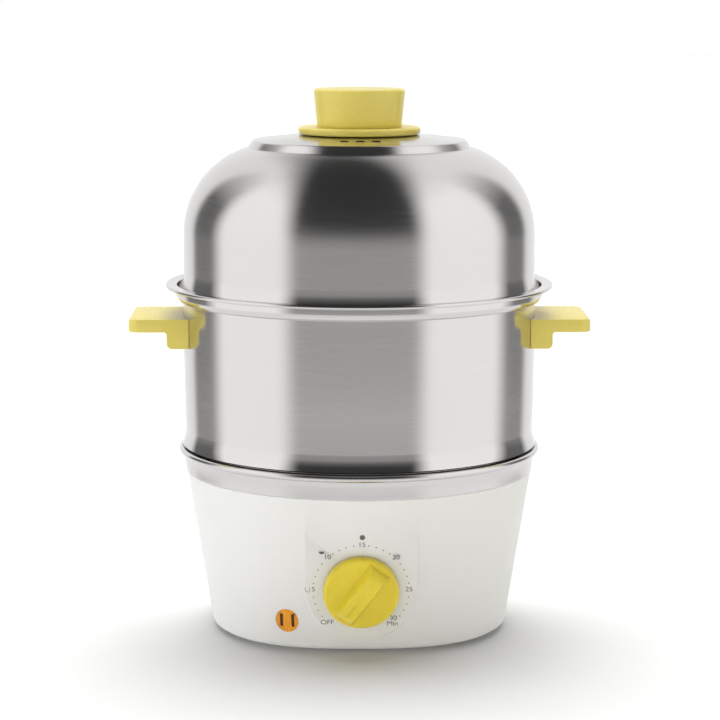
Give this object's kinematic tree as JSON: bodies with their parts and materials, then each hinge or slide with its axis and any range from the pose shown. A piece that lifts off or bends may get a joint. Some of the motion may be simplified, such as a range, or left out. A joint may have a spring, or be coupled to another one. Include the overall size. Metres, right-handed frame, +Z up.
{
  "type": "egg cooker",
  "caption": "Tiered electric egg cooker: tapered white base with a turn-knob timer, steel pot ring with side handles, and a steel dome lid with a yellow knob.",
  "frame": {"origin": "on the resting surface, under the middle of the base", "axes": "+Z up along the pot axis, the timer panel faces -Y, handles along X"},
  "size_m": [0.221, 0.1872, 0.2595],
  "materials": {
    "white_housing": "satin moulded white",
    "brushed_steel": "circumferentially brushed stainless steel",
    "yellow_plastic": "satin moulded yellow",
    "black_rubber": "matte",
    "grey_silicone": "matte",
    "zinc_steel": "zinc plated",
    "cast_aluminium": "as cast",
    "element_sheath": "dark heat-tinted sheath",
    "ceramic_white": "unglazed",
    "dark_bakelite": "moulded",
    "brass": "stamped",
    "spring_steel": "blued strip",
    "bell_steel": "nickel plated",
    "amber_lens": "clear amber, ribbed behind",
    "lamp_glass": "clear",
    "holder_nylon": "moulded",
    "resistor_body": "coated",
    "wire_sleeve": "heat-proof sleeve",
    "white_rack": "moulded"
  },
  "bodies": {
    "base": {"base_housing": "white_housing", "bottom_cover": "white_housing", "rubber_feet": "black_rubber", "cover_screws": "zinc_steel", "steel_collar": "brushed_steel", "heating_pan": "brushed_steel", "pan_gasket": "grey_silicone", "heat_spreader": "cast_aluminium", "heating_element": "element_sheath", "element_terminals": "ceramic_white", "heat_shield": "zinc_steel", "pan_brackets": "zinc_steel", "bracket_screws": "zinc_steel", "thermostat": "dark_bakelite", "thermal_fuse": "ceramic_white", "timer_front_plate": "brass", "timer_back_plate": "brass", "timer_pillars": "zinc_steel", "timer_screws": "zinc_steel", "shaft_bushing": "brass", "mainspring": "spring_steel", "timer_bell": "bell_steel", "bell_hammer": "zinc_steel", "switch_block": "dark_bakelite", "switch_leaves": "brass", "indicator_lens": "amber_lens", "lamp_holder": "holder_nylon", "neon_lamp": "lamp_glass", "lamp_resistor": "resistor_body", "terminal_block": "holder_nylon", "internal_wires": "wire_sleeve", "cord_gland": "holder_nylon", "cord_clamp": "zinc_steel"},
    "timer_dial": {"dial_knob": "yellow_plastic", "dial_shaft": "zinc_steel", "main_wheel": "brass", "switch_cam": "dark_bakelite"},
    "timer_second": {"second_arbor": "zinc_steel", "second_wheel": "brass"},
    "timer_escape": {"escape_arbor": "zinc_steel", "escape_wheel": "brass"},
    "rack": {"egg_rack": "white_rack"},
    "ring": {"ring_shell": "brushed_steel", "handle_left": "yellow_plastic", "handle_right": "yellow_plastic", "handle_screws": "zinc_steel", "handle_washers": "zinc_steel"},
    "tray": {"steam_tray": "brushed_steel"},
    "lid": {"lid_shell": "brushed_steel", "lid_knob_grip": "yellow_plastic", "lid_knob_flange": "yellow_plastic", "knob_washer": "grey_silicone", "knob_screw": "zinc_steel"}
  },
  "joints": [
    {"name": "rack_lift", "type": "slide", "parent": "base", "child": "rack", "axis": [0, 0, 1], "range_m": [0, 0.12]},
    {"name": "ring_lift", "type": "slide", "parent": "rack", "child": "ring", "axis": [0, 0, 1], "range_m": [0, 0.12]},
    {"name": "tray_lift", "type": "slide", "parent": "ring", "child": "tray", "axis": [0, 0, 1], "range_m": [0, 0.12]},
    {"name": "lid_lift", "type": "slide", "parent": "tray", "child": "lid", "axis": [0, 0, 1], "range_m": [0, 0.12]},
    {"name": "dial_turn", "type": "hinge", "parent": "base", "child": "timer_dial", "pos_m": [0, -0.07653, 0.0318], "axis": [0, 0.9859, 0.1676], "range_deg": [0, 278]},
    {"name": "second_spin", "type": "hinge", "parent": "base", "child": "timer_second", "pos_m": [0.01188, -0.07063, 0.04485], "axis": [0, 0.9859, 0.1676], "range_deg": [-1391, 0]},
    {"name": "escape_spin", "type": "hinge", "parent": "base", "child": "timer_escape", "pos_m": [0.00322, -0.07147, 0.04978], "axis": [0, 0.9859, 0.1676], "range_deg": [0, 5562]}
  ],
  "couplings": [
    {"joint": "second_spin", "follows": "dial_turn", "ratio": -5},
    {"joint": "escape_spin", "follows": "dial_turn", "ratio": 20}
  ]
}
